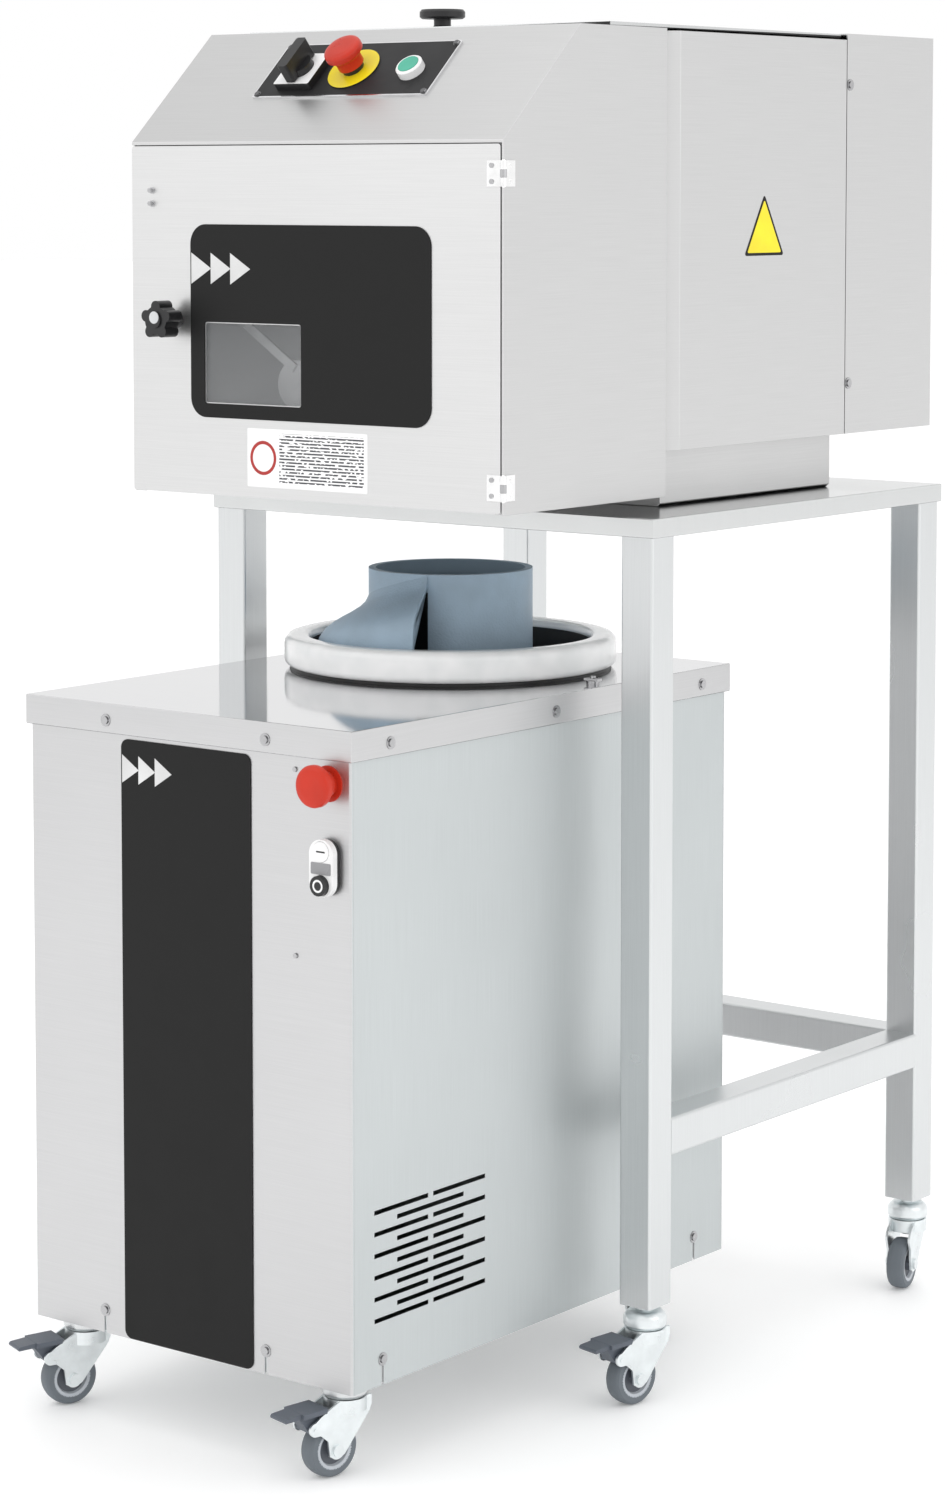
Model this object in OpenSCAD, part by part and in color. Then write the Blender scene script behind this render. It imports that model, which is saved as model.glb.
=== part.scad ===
// Dough divider on a wheeled stand, with a dough rounder that rolls in under it.
// +Z is up and the fronts of both machines face -Y. Millimetres.

/* [Stand] */
// Width of the stand over its legs
stand_w = 600; // [560:10:640]
// Depth of the stand over its legs
stand_d = 568; // [540:4:600]
// Height of the table top
table_z = 934; // [920:2:950]
// Side of the square frame tube
tube = 40; // [35:5:45]
// Wall of the square frame tube
tube_wall = 2; // [1.5:0.5:3]
// Height of the lower ends of the legs
leg_z = 103; // [100:1:106]
// Height of the undersides of the lower rails
rail_z = 260; // [220:10:300]
// Depth of the turned-down rim of the table top
rim_h = 20; // [16:1:24]
// How far the rim stands out past the legs
rim_over = 3; // [2:0.5:4]

/* [Divider] */
// Width of the divider
div_w = 502; // [490:2:510]
// How far the divider's front stands out in front of the legs
div_front = 188; // [180:2:196]
// Lower edge of the front housing
housing_z = 948; // [944:1:952]
// Height where the slanted panel starts
shoulder_z = 1322; // [1312:1:1326]
// Height of the top of the front housing
top_z = 1440; // [1436:1:1442]
// How far back the slanted panel runs
slant_run = 128; // [120:1:136]
// Back face of the front housing, behind the stand's front
housing_back = 93; // [90:1:96]
// Front edge of the side covers, behind the stand's front
cover_front = 107; // [105:1:110]
// Front face of the rear housing, behind the stand's front
rear_front = 444.5; // [443:0.5:446]
// Back face of the rear housing, behind the stand's front
rear_back = 629.5; // [610:0.5:640]
// Lower edge of the side covers
cover_z = 996; // [994:1:998]
// Top of the rear housing
rear_top = 1445; // [1444.6:0.1:1446]
// Thickness of the divider's sheet
sheet = 2; // [1.5:0.5:2]
// Centre height of the auger and the outlet
auger_z = 1098; // [1096:1:1100]
// Outer radius of the auger's flight
auger_r = 46; // [42:1:47]

/* [Door] */
// Height of the door's lower edge
door_z = 949; // [949:1:951]
// Left edge of the black panel on the door
panel_x0 = -166.5; // [-168:0.5:-160]
// Width of the black panel
panel_w = 326; // [300:1:330]
// Height of the lower edge of the black panel
panel_z0 = 1031; // [1026:1:1036]
// Height of the black panel
panel_h = 204; // [196:1:206]
// Width of the window
window_w = 134; // [120:1:136]
// Height of the window
window_h = 86; // [80:1:88]

/* [Rounder] */
// Width of the rounder's lid
lid_w = 440; // [430:2:444]
// Depth of the rounder's lid
lid_d = 653; // [640:1:660]
// Height of the top of the rounder's lid
lid_z = 750; // [740:2:756]
// Depth of the lid's turned-down rim
lid_rim = 30.5; // [28:0.5:34]
// Lower edge of the rounder's body
body_z = 92; // [91:1:94]
// How far the lid's front stands in front of the stand's legs
rounder_front = 381; // [370:1:400]
// Sideways place of the rounder under the stand
rounder_x = -6; // [-10:1:10]
// Outer radius of the white ring
ring_r = 182.5; // [178:0.5:184]
// Outer radius of the feed cylinder
feed_r = 90; // [85:1:92]
// Height of the top of the feed cylinder
feed_z = 859; // [840:1:864]

/* [Casters] */
// Diameter of the caster wheels
wheel_d = 58; // [56:1:58]
// Width of the caster wheels
wheel_w = 20; // [18:1:20]
// Distance from the swivel axis to the axle
trail = 20; // [18:1:22]

/* [Hidden] */
$fn = 64;
// Y of the stand's front face, so that the origin is under the middle of the set
front_y = -107;
door_top = shoulder_z - 4.5;
door_right = div_w / 2 - 4;
hinge_x = div_w / 2 + 2;
hinge_y = -div_front - 3;
hinge_zs = [975, 1288];
hinge_h = 26;
knob_x = -187;
knob_z = 1133.5;
window_x0 = panel_x0 + 19.5;
window_z0 = panel_z0 + 15;
knife_x = -75;
knife_z = 1065;
knife_y = -118;
mouth_y = -122;
mouth_r = 24;
trough_r = 52;
plate_t = 2;
lid_pin_y = 442;
lid_pin_z = top_z + 4;
slant_a = atan2(top_z - shoulder_z, slant_run);
rim_sheet = 1.5;
tube_corner = 3;
// Screw heads: head and washer
head_r = 4;
head_h = 2;
washer_r = 6.5;
washer_h = 0.6;
// Hinge pins, their bores and the knuckles
pin_r = 1.5;
pin_bore = 1.57;
knuckle_r = 3.5;
leaf_t = 1.5;
hinge_screw_r = 2.6;
hinge_screw_h = 1;
lid_knuckle_r = 2.2;
lid_half = 246;
// Shafts and the bores that they turn in
shaft_r = 12;
shaft_bore = 12.1;
knife_shaft_r = 8;
knife_bore = 8.1;
// Mains glands: body, flange and bore, and where they stand on the two backs
gland_r = 10;
gland_hole = 10.25;
gland_flange_r = 14;
gland_flange_h = 5;
gland_reach = 12;
cable_r = 5;
divider_gland = [190, 1040];
rounder_gland = [-150, 150];
// Casters: fork plates, axle and the pedal's pivot
fork_half = 14.8;
fork_t = 2.5;
axle_r = 4;
axle_half = 17.5;
pedal_pin_r = 2.5;
// Controls
station_r = 11.2;
push_r = 10;
push_hole = 10.3;
push_case = 29;
push_case_h = 56;
// Rounder's sheets and screws
body_inset = 4;
body_corner = 3;
foot_screw_xs = [-116.3, 103.7];
foot_screw_ys = [51, 592];
lid_screw_xs = [-106, 109.5];
lid_screw_ys = [60.5, 331.5, 598];
lid_screw_down = 17.5;
lid_hole_r = 162;
seam = 0.04;
frame_bar = 20;
beam_z0 = 520;
beam_z1 = 550;
ring_c = [-12, 448.5];
ring_z0 = lid_z + 3;
ring_h = 34;
vane_end = 292.5;
drum_r = 158;
drum_z = 570;
caster_x = 178;
caster_front_y = 38;
caster_rear_y = 555;
control_x = 187.7;
estop_z = 696;
push_z = 614;
push_gap = 16.5;
selector_at = [-69.5, 101];
estop_at = [-6, 108];
start_at = [74, 104];
estop_skirt = 7.5;
pedal_y = -46;
pedal_z = 54.6;

// --- Frames and helper shapes ---

// The stand's own frame: Y = 0 is the front face of its legs
module on_stand() {
    translate([0, front_y, 0]) children();
}

// The rounder's own frame: X = 0 is its middle and Y = 0 is the lid's front edge
module on_rounder() {
    translate([rounder_x, front_y - rounder_front, 0]) children();
}

// The slanted panel's frame: X across, Y up the slope from its lower edge, Z out of it
module slope() {
    translate([0, -div_front, shoulder_z]) rotate([slant_a, 0, 0]) children();
}

module on_slant() {
    on_stand() slope() children();
}

module block(lo, hi) {
    translate(lo) cube(hi - lo);
}

module rod_y(x, z, y0, y1, r) {
    translate([x, y0, z]) rotate([-90, 0, 0]) cylinder(h = y1 - y0, r = r);
}

module rod_x(y, z, x0, x1, r) {
    translate([x0, y, z]) rotate([0, 90, 0]) cylinder(h = x1 - x0, r = r);
}

// A rectangle with round corners
module round_rect(w, h, r) {
    translate([r, 0]) square([w - 2 * r, h]);
    translate([0, r]) square([w, h - 2 * r]);
    for (x = [r, w - r], y = [r, h - r]) translate([x, y]) circle(r);
}

// A sheet in the XZ plane with round corners, from y0 to y1
module front_plate(x0, z0, w, h, r, y0, y1) {
    translate([x0, y1, z0]) rotate([90, 0, 0]) linear_extrude(y1 - y0) round_rect(w, h, r);
}

// Cross-section of the square frame tube
module tube_section() {
    difference() {
        round_rect(tube, tube, tube_corner);
        translate([tube_wall, tube_wall]) square(tube - 2 * tube_wall);
    }
}

// A pan-head screw on an upright face, pointing out along -Y
module front_screw(x, z, y) {
    rod_y(x, z, y - head_h, y, head_r);
    rod_y(x, z, y - washer_h, y, washer_r);
}

// The same screw on the right-hand face, pointing out along +X
module side_screw(x, y, z) {
    rod_x(y, z, x, x + head_h, head_r);
    rod_x(y, z, x, x + washer_h, washer_r);
}

// --- Stand ---

module stand_frame() {
    half = stand_w / 2;
    weld = 1.5;
    color("silver") on_stand() {
        for (x = [-half, half - tube], y = [0, stand_d - tube])
            translate([x, y, leg_z]) linear_extrude(table_z - rim_sheet - leg_z) tube_section();
        for (x = [-half, half - tube]) translate([x, stand_d - tube + weld, rail_z]) rotate([90, 0, 0])
            linear_extrude(stand_d - 2 * tube + 2 * weld) tube_section();
        translate([-half + tube - weld, stand_d - tube, rail_z]) rotate([90, 0, 90])
            linear_extrude(stand_w - 2 * tube + 2 * weld) tube_section();
    }
}

module stand_top() {
    half = stand_w / 2 + rim_over;
    y1 = stand_d + rim_over;
    brace_end = half - 20;
    brace_w = 60;
    color("gainsboro") on_stand() {
        difference() {
            block([-half, -rim_over, table_z - rim_h], [half, y1, table_z]);
            block([-half + rim_sheet, -rim_over + rim_sheet, table_z - rim_h - 1],
                [half - rim_sheet, y1 - rim_sheet, table_z - rim_sheet]);
        }
        // Two folded braces under the top
        for (y = [140, 400]) difference() {
            block([-brace_end, y, table_z - rim_h + 2], [brace_end, y + brace_w, table_z - rim_sheet]);
            block([-brace_end - 1, y + 2, table_z - rim_h + 1],
                [brace_end + 1, y + brace_w - 2, table_z - rim_sheet - 2]);
        }
    }
}

// The four threaded stems, with the upper races of the swivel bearings
module stand_caster_heads() {
    plug = tube - 2 * tube_wall - 0.4;
    plug_h = 20;
    color("lightgray") on_stand()
        for (x = [-1, 1] * (stand_w - tube) / 2, y = [tube / 2, stand_d - tube / 2]) translate([x, y, 0]) {
            translate([0, 0, leg_z + plug_h / 2]) cube([plug, plug, plug_h], center = true);
            caster_head(leg_z, 1);
        }
}

// --- Casters: the swivel axis is at X = Y = 0 and the wheel trails towards -Y ---

// The part of the swivel that stays still, up to height top
module caster_head(top, stem) {
    rotate_extrude() polygon([[0, 59.2], [8, 59.2], [8, 61.7], [5, 61.7], [5, 78.4], [20, 78.4], [23, 82],
        [23, 90], [21, 93.5], [stem == 1 ? 17 : 21, min(top, 97)], [stem == 1 ? 10 : 21, min(top, 98)],
        [stem == 1 ? 10 : 21, top], [0, top]]);
}

module fork_side(brake) {
    polygon([[-20, 20], [-11, 24], [18, 60], [22, 68], [22, 78], [-16, 78], brake ? [-40, 66] : [-30, 70],
        brake ? [-46, 61.6] : [-36, 62], brake ? [-46, 47.6] : [-36, 58], brake ? [-40, 47.6] : [-31, 46],
        [-31, 40], [-29, 24]]);
    translate([-trail, wheel_d / 2]) circle(9);
    if (brake) translate([pedal_y, pedal_z]) circle(7);
}

module caster_fork(brake) {
    color("lightgray") {
        difference() {
            union() {
                for (x = [-fork_half, fork_half - fork_t])
                    translate([x, 0, 0]) rotate([90, 0, 90]) linear_extrude(fork_t) fork_side(brake);
                block([-fork_half, -14, 62], [fork_half, 20, 62 + fork_t]);
                translate([0, 0, 64.5]) cylinder(h = 13.5, r = 22);
            }
            translate([0, 0, 50]) cylinder(h = 40, r = 5.1);
            translate([0, 0, 50]) cylinder(h = 12, r = 8.4);
        }
        rod_x(-trail, wheel_d / 2, -axle_half, axle_half, axle_r);
        for (x = [-axle_half, fork_half])
            rod_x(-trail, wheel_d / 2, x, x + axle_half - fork_half, 1.5 * axle_r);
        if (brake) rod_x(pedal_y, pedal_z, -fork_half - 1, fork_half + 1, pedal_pin_r);
    }
}

module caster_wheel() {
    r = wheel_d / 2;
    color("dimgray") translate([0, -trail, r]) rotate([0, 90, 0]) rotate_extrude() polygon([
        [4.1, -wheel_w / 2 - 1.5], [8, -wheel_w / 2 - 1.5], [8, -6], [16, -6], [17, -wheel_w / 2 + 0.6],
        [21, -wheel_w / 2], [r - 3, -wheel_w / 2], [r - 0.8, -wheel_w / 2 + 2.5], [r, -3], [r, 3],
        [r - 0.8, wheel_w / 2 - 2.5], [r - 3, wheel_w / 2], [21, wheel_w / 2], [17, wheel_w / 2 - 0.6],
        [16, 6], [8, 6], [8, wheel_w / 2 + 1.5], [4.1, wheel_w / 2 + 1.5]]);
}

module caster_pedal() {
    color("slategray") difference() {
        union() {
            translate([-17, 0, 0]) rotate([90, 0, 90]) linear_extrude(34)
                polygon([[-32, 74.5], [-62, 73.5], [-62, 68.5], [-34, 69.5]]);
            translate([-13, 0, 0]) rotate([90, 0, 90]) linear_extrude(26)
                polygon([[-60, 73.5], [-80, 71.5], [-82, 69.5], [-81, 67.5], [-60, 68.5]]);
            translate([-9, 0, 0]) rotate([90, 0, 90]) linear_extrude(18)
                polygon([[-41, 55], [-36, 70], [-64, 69], [-58, 62], [-50, 51]]);
            rod_x(pedal_y, pedal_z, -fork_half + 3, fork_half - 3, 5.5);
        }
        rod_x(pedal_y, pedal_z, -20, 20, pedal_pin_r + 0.1);
    }
}

// Where each caster stands, and how far its wheel is turned at rest
function stand_stem(sx, rear) = [sx * (stand_w - tube) / 2, rear ? stand_d - tube / 2 : tube / 2, 0];
function rounder_stem(sx, rear) = [sx * caster_x, rear ? caster_rear_y : caster_front_y, 0];

module stand_caster(sx, rear, turn) {
    on_stand() translate(stand_stem(sx, rear)) rotate([0, 0, turn]) children();
}

module rounder_caster(sx, rear, turn) {
    on_rounder() translate(rounder_stem(sx, rear)) rotate([0, 0, turn]) children();
}

module stand_fork_front_left() { stand_caster(-1, false, 20) caster_fork(true); }
module stand_fork_front_right() { stand_caster(1, false, -12) caster_fork(true); }
module stand_fork_rear_left() { stand_caster(-1, true, -10) caster_fork(false); }
module stand_fork_rear_right() { stand_caster(1, true, 13) caster_fork(false); }
module stand_wheel_front_left() { stand_caster(-1, false, 20) caster_wheel(); }
module stand_wheel_front_right() { stand_caster(1, false, -12) caster_wheel(); }
module stand_wheel_rear_left() { stand_caster(-1, true, -10) caster_wheel(); }
module stand_wheel_rear_right() { stand_caster(1, true, 13) caster_wheel(); }
module stand_pedal_left() { stand_caster(-1, false, 20) caster_pedal(); }
module stand_pedal_right() { stand_caster(1, false, -12) caster_pedal(); }
module rounder_fork_front_left() { rounder_caster(-1, false, -22) caster_fork(true); }
module rounder_fork_front_right() { rounder_caster(1, false, -14) caster_fork(true); }
module rounder_fork_rear_left() { rounder_caster(-1, true, 30) caster_fork(false); }
module rounder_fork_rear_right() { rounder_caster(1, true, 20) caster_fork(false); }
module rounder_wheel_front_left() { rounder_caster(-1, false, -22) caster_wheel(); }
module rounder_wheel_front_right() { rounder_caster(1, false, -14) caster_wheel(); }
module rounder_wheel_rear_left() { rounder_caster(-1, true, 30) caster_wheel(); }
module rounder_wheel_rear_right() { rounder_caster(1, true, 20) caster_wheel(); }
module rounder_pedal_left() { rounder_caster(-1, false, -22) caster_pedal(); }
module rounder_pedal_right() { rounder_caster(1, false, -14) caster_pedal(); }

// --- Divider ---

// The folded plinth between the table and the divider
module divider_base() {
    y0 = 121;
    y1 = 456;
    half = 224;
    fold = 4;
    color("silver") on_stand() {
        // Ties to the front housing's bulkhead
        for (x = [-190, 150]) block([x, housing_back, 960], [x + 40, y0, 990]);
        // Saddles under the hopper's trough
        for (y = [270, 400]) difference() {
            block([-70, y, cover_z], [70, y + 6, auger_z - 20]);
            rod_y(0, auger_z, y - 1, y + 7, trough_r);
        }
        difference() {
            translate([0, y1, 0]) rotate([90, 0, 0]) linear_extrude(y1 - y0) polygon([
                [-half + fold, table_z], [half - fold, table_z], [half, table_z + fold], [half, cover_z],
                [-half, cover_z], [-half, table_z + fold]]);
            block([-half + 2, y0 + 2, table_z - 1], [half - 2, y1 - 2, cover_z - 2]);
        }
    }
}

// Side outline of the front housing, drawn in by t on every side
module housing_side(t) {
    k = t * tan(slant_a / 2);
    polygon([[-div_front + t, housing_z - (t > 0 ? 1 : 0)], [-div_front + t, shoulder_z - k],
        [-div_front + slant_run + k, top_z - t], [housing_back - t, top_z - t],
        [housing_back - t, housing_z - (t > 0 ? 1 : 0)]]);
}

module along_x(x0, x1) {
    translate([x0, 0, 0]) rotate([90, 0, 90]) linear_extrude(x1 - x0) children();
}

module front_housing() {
    half = div_w / 2;
    flange = 12;
    color("silver") on_stand() {
        difference() {
            along_x(-half, half) housing_side(0);
            along_x(-half + sheet, half - sheet) housing_side(sheet);
            // Opening that the door shuts into
            block([-half - 1, -div_front - 1, housing_z - 1],
                [door_right + 1.5, -div_front + 2.5, door_top + 1]);
            rod_y(0, auger_z, housing_back - 5, housing_back + 1, trough_r + 2);
            rod_y(knife_x, knife_z, housing_back - 5, housing_back + 1, knife_shaft_r + 1);
            slope() station_holes();
        }
        // Flanges behind the door's edges
        for (x = [-half + sheet, half - sheet - flange])
            block([x, -div_front + 3.5, housing_z], [x + flange, -div_front + 5.5, door_top]);
    }
}

// Right-hand side cover, seen from above, with its bent front edge
module cover_plan() {
    half = div_w / 2;
    polygon([[half, rear_front - 1], [half, cover_front + 11], [half - 11, cover_front],
        [half - 12.06, cover_front + 1.06], [half - 1.5, cover_front + 11.62], [half - 1.5, rear_front - 1]]);
}

module body_covers() {
    color("gainsboro") on_stand() for (side = [0, 1]) mirror([side, 0, 0]) {
            translate([0, 0, cover_z]) linear_extrude(top_z - 2 - cover_z) cover_plan();
            block([200, cover_front + 13, cover_z], [div_w / 2 - 1, rear_front - 1, cover_z + 1.5]);
        }
}

module rear_housing() {
    half = div_w / 2;
    color("gainsboro") on_stand() difference() {
        block([-half, rear_front, cover_z], [half, rear_back, rear_top]);
        block([-half + 1.5, rear_front - 1, cover_z + 1.5], [half - 1.5, rear_back - 1.5, rear_top - 1.5]);
        // Cooling slots in the back
        for (z = [1060 : 14 : 1130], x = [-150, 50])
            block([x, rear_back - 3, z], [x + 100, rear_back + 1, z + 5]);
        rod_y(divider_gland[0], divider_gland[1], rear_back - 3, rear_back + 1, gland_hole);
    }
}

// Cross-section of the hopper: sloping walls above a round trough
module hopper_section(t) {
    top_half = 236 - t;
    r = trough_r - t;
    z = auger_z + 170;
    translate([0, auger_z]) circle(r);
    rim = top_z - 3 + t;
    polygon([[-r, auger_z], [r, auger_z], [top_half, z], [top_half, rim], [-top_half, rim], [-top_half, z]]);
}

module hopper_tub() {
    y0 = 114;
    y1 = 438;
    color("whitesmoke") on_stand() difference() {
        translate([0, y1, 0]) rotate([90, 0, 0]) linear_extrude(y1 - y0) hopper_section(0);
        translate([0, y1 - 2, 0]) rotate([90, 0, 0]) linear_extrude(y1 - y0 - 4) hopper_section(2);
        rod_y(0, auger_z, y0 - 1, y0 + 3, trough_r - 4);
        rod_y(0, auger_z, y1 - 3, y1 + 1, shaft_r + 1);
    }
}

// The cone that the dough leaves by
module outlet_cone() {
    color("lightgray") on_stand() translate([0, 114, auger_z]) rotate([90, 0, 0]) rotate_extrude() polygon([
        [trough_r - 4, 0], [trough_r, 0], [trough_r, 23], [70, 23], [70, 29], [trough_r + 2, 29],
        [trough_r + 2, 60], [mouth_r + 4, 200], [mouth_r + 4, 114 - mouth_y], [mouth_r, 114 - mouth_y],
        [mouth_r, 198], [trough_r - 4, 58]]);
}

// --- Controls on the slanted panel ---

module station_holes() {
    for (p = [selector_at, estop_at, start_at]) translate([p[0], p[1], -4]) cylinder(h = 8, r = station_r);
}

module control_plate() {
    color("#303234") on_slant() difference() {
        translate([-122, 67, 0]) linear_extrude(plate_t) round_rect(236, 83.5, 2);
        station_holes();
    }
}

// The base of the selector with its plate, the collar of the emergency stop and the start button's bezel
module control_bases() {
    on_slant() {
        color("#202020") translate([selector_at[0], selector_at[1], plate_t]) difference() {
            translate([-24, -24, 0]) linear_extrude(9) round_rect(48, 48, 2);
            translate([0, 0, 4]) cylinder(h = 10, r = 15.3);
        }
        color("gold") translate([estop_at[0], estop_at[1], plate_t]) estop_collar(30);
        color("white") translate([start_at[0], start_at[1], plate_t]) difference() {
            union() {
                cylinder(h = 8, r = 15);
                translate([0, 0, 8]) cylinder(h = 1.5, r1 = 15, r2 = 13.5);
            }
            translate([0, 0, -1]) cylinder(h = 12, r = station_r + 0.6);
        }
    }
}

module selector_knob() {
    color("#1c1c1c") on_slant() translate([selector_at[0], selector_at[1], 6.3]) {
        cylinder(h = 12, r = 15);
        translate([-6.5, -23, 6]) linear_extrude(22) round_rect(13, 46, 3);
    }
}

// Head of an emergency stop, h high above its skirt, on a stem that slides in the collar
module mushroom(r, h) {
    rotate_extrude() polygon([[0, -5.9], [8, -5.9], [8, 8.5], [12.3, 8.5], [12.3, 0], [14.5, 0],
        [14.5, h - 15], [17, h - 10.5], [r, h - 9], [r, h - 4.5], [r - 0.9, h - 2.4], [r - 3, h - 1],
        [r - 8, h - 0.2], [0, h]]);
}

// Collar that the head slides on, on a base of radius base_r
module estop_collar(base_r) {
    rotate_extrude() polygon([[8.3, 0], [base_r, 0], [base_r, 1.5], [12, 1.5], [12, estop_skirt + 2.5],
        [8.3, estop_skirt + 2.5]]);
}

module estop_head() {
    color("crimson") on_slant() translate([estop_at[0], estop_at[1], plate_t + estop_skirt]) mushroom(21, 25);
}

module start_button() {
    color("mediumseagreen") on_slant()
        translate([start_at[0], start_at[1], 6.5]) cylinder(h = 5.5, r = station_r + 0.3);
}

// --- Door ---

module door() {
    x0 = -div_w / 2;
    skin = 1.5;
    color("gainsboro") on_stand() difference() {
        union() {
            front_plate(x0, door_z, door_right - x0, door_top - door_z, 3, -div_front, -div_front + skin);
            // Stiffening frame behind the skin
            difference() {
                block([x0 + 20, -div_front + 1.4, door_z + 6],
                    [door_right - 18, -div_front + 13, door_top - 16]);
                block([x0 + 20 + skin, -div_front + 1.4, door_z + 6 + skin],
                    [door_right - 18 - skin, -div_front + 14, door_top - 16 - skin]);
            }
        }
        front_plate(window_x0 + 1, window_z0 + 1, window_w - 2, window_h - 2, 2,
            -div_front - 1, -div_front + 2);
        rod_y(knob_x, knob_z, -div_front - 1, -div_front + 3, 6.1);
    }
}

module door_panel() {
    color("#2b2b2c") on_stand() difference() {
        front_plate(panel_x0, panel_z0, panel_w, panel_h, 21, -div_front - 1.2, -div_front);
        front_plate(window_x0, window_z0, window_w, window_h, 3, -div_front - 2, -div_front + 1);
    }
}

module door_window() {
    lap = 6;
    color([0.55, 0.57, 0.58, 0.5]) on_stand()
        front_plate(window_x0 - lap, window_z0 - lap, window_w + 2 * lap, window_h + 2 * lap, 4,
            -div_front + 1.5, -div_front + 4.5);
}

// Swinging leaves of the two hinges, with their screws, and the two studs
module door_hardware() {
    leaf_face = -div_front - leaf_t;
    stud_x = -222;
    stud_zs = [1256.5, 1270.5];
    color("white") on_stand() {
        for (z = hinge_zs) {
            difference() {
                union() {
                    block([hinge_x - 22, -div_front - leaf_t, z - hinge_h / 2],
                        [hinge_x - 4, -div_front, z + hinge_h / 2]);
                    block([hinge_x - 4, -div_front - leaf_t, z - 4], [hinge_x, -div_front, z + 4]);
                    translate([hinge_x, hinge_y, z - 4]) cylinder(h = 8, r = knuckle_r);
                }
                translate([hinge_x, hinge_y, z - 5]) cylinder(h = 10, r = pin_bore);
            }
            for (dz = [-8, 8])
                rod_y(hinge_x - 16, z + dz, leaf_face - hinge_screw_h, leaf_face, hinge_screw_r);
        }
        for (z = stud_zs) {
            rod_y(stud_x, z, -div_front - 1, -div_front, 3.6);
            rod_y(stud_x, z, -div_front - 5, -div_front - 1, 2.4);
        }
    }
}

// Five-lobe clamp knob on its shaft
module door_knob() {
    stand_off = 14;
    grip = 20;
    lobes = 5;
    color("#1a1a1a") on_stand() {
        rod_y(knob_x, knob_z, -div_front - stand_off, -div_front - 0.3, 9);
        rod_y(knob_x, knob_z, -div_front - stand_off, -div_front + 26, 6);
        translate([knob_x, -div_front - stand_off, knob_z]) rotate([90, 0, 0]) {
            cylinder(h = grip, r = 15);
            for (i = [0 : lobes - 1]) rotate([0, 0, 90 + 360 / lobes * i])
                translate([14.5, 0, 0]) cylinder(h = grip, r = 6.2);
            cylinder(h = grip + 2, r = 8);
        }
    }
}

// Fixed leaves of the door hinges with their pins, and the pin and fixed knuckles of the lid's hinge
module door_hinges() {
    half = div_w / 2;
    // Half the height of a fixed knuckle, above and below the swinging one
    knuckle_half = hinge_h / 4 - 2.15;
    color("white") on_stand() {
        for (z = hinge_zs) {
            for (s = [-1, 1]) translate([0, 0, z + s * (hinge_h / 2 - knuckle_half)]) {
                translate([hinge_x, hinge_y, -knuckle_half]) cylinder(h = 2 * knuckle_half, r = knuckle_r);
                block([half, hinge_y, -knuckle_half], [half + leaf_t, -div_front + 17, knuckle_half]);
            }
            block([half, -div_front + 2, z - hinge_h / 2], [half + leaf_t, -div_front + 17, z + hinge_h / 2]);
            translate([hinge_x, hinge_y, z - hinge_h / 2 - 1]) cylinder(h = hinge_h + 2, r = pin_r);
            for (dz = [-8, 8])
                rod_x(-div_front + 11, z + dz, half + leaf_t, half + leaf_t + hinge_screw_h, hinge_screw_r);
        }
        rod_x(lid_pin_y, lid_pin_z, -230, 230, pin_r);
        for (x = [-200, 160]) {
            rod_x(lid_pin_y, lid_pin_z, x, x + 40, lid_knuckle_r);
            block([x, lid_pin_y, lid_pin_z - lid_knuckle_r], [x + 40, rear_front + 6, lid_pin_z - 0.5]);
        }
    }
}

// --- Hopper lid ---

module hopper_lid() {
    seal = 8;
    on_stand() {
        color("gainsboro") difference() {
            union() {
                block([-lid_half, -2, top_z + 2.3], [lid_half, 439.4, top_z + 4.3]);
                for (x = [-120, 60]) rod_x(lid_pin_y, lid_pin_z, x, x + 60, lid_knuckle_r);
                for (x = [-120, 60]) block([x, 439, lid_pin_z - 1], [x + 60, lid_pin_y, lid_pin_z + 0.3]);
            }
            rod_x(lid_pin_y, lid_pin_z, -lid_half - 4, lid_half + 4, pin_bore);
        }
        // The seal under its edge
        color("#202020") difference() {
            block([-lid_half, -2, top_z + 0.3], [lid_half, 438, top_z + 2.3]);
            block([-lid_half + seal, -2 + seal, top_z], [lid_half - seal, 438 - seal, top_z + 3]);
        }
    }
}

module lid_knob() {
    color("#1a1a1a") on_stand() translate([0, 31, top_z + 4.3]) rotate_extrude() polygon([
        [0, 0], [10.5, 0], [9.2, 3], [9.2, 9], [22, 9.6], [24.5, 11.5], [24.5, 17], [22.5, 19.5], [0, 20.5]]);
}

// --- Inside the divider ---

// Points of one cross-section of the auger's flight at turn angle a
function flight_ring(a, pitch, r0, r1, t) = [
    for (p = [[r0, -t], [r1, -t / 2], [r1, t / 2], [r0, t]])
        [p[0] * cos(a), p[0] * sin(a), p[1] + pitch * a / 360]];

// A helical flight as one closed surface
module flight(turns, pitch, r0, r1, t, step = 20) {
    n = ceil(turns * 360 / step);
    rings = [for (i = [0 : n]) flight_ring(i * turns * 360 / n, pitch, r0, r1, t)];
    polyhedron([for (ring = rings) each ring], concat(
        [[3, 2, 1, 0]],
        [for (i = [0 : n - 1], j = [0 : 3], k = [0, 1]) let (
            a = 4 * i + j, b = 4 * i + (j + 1) % 4, c = b + 4, d = a + 4) k == 0 ? [a, b, c] : [a, c, d]],
        [[4 * n, 4 * n + 1, 4 * n + 2, 4 * n + 3]]));
}

module auger_screw() {
    color("silver") on_stand() {
        rod_y(0, auger_z, -20, 500, shaft_r);
        translate([0, 425, auger_z]) rotate([90, 0, 0]) flight(3.6, 92, 11, auger_r, 5);
    }
}

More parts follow.
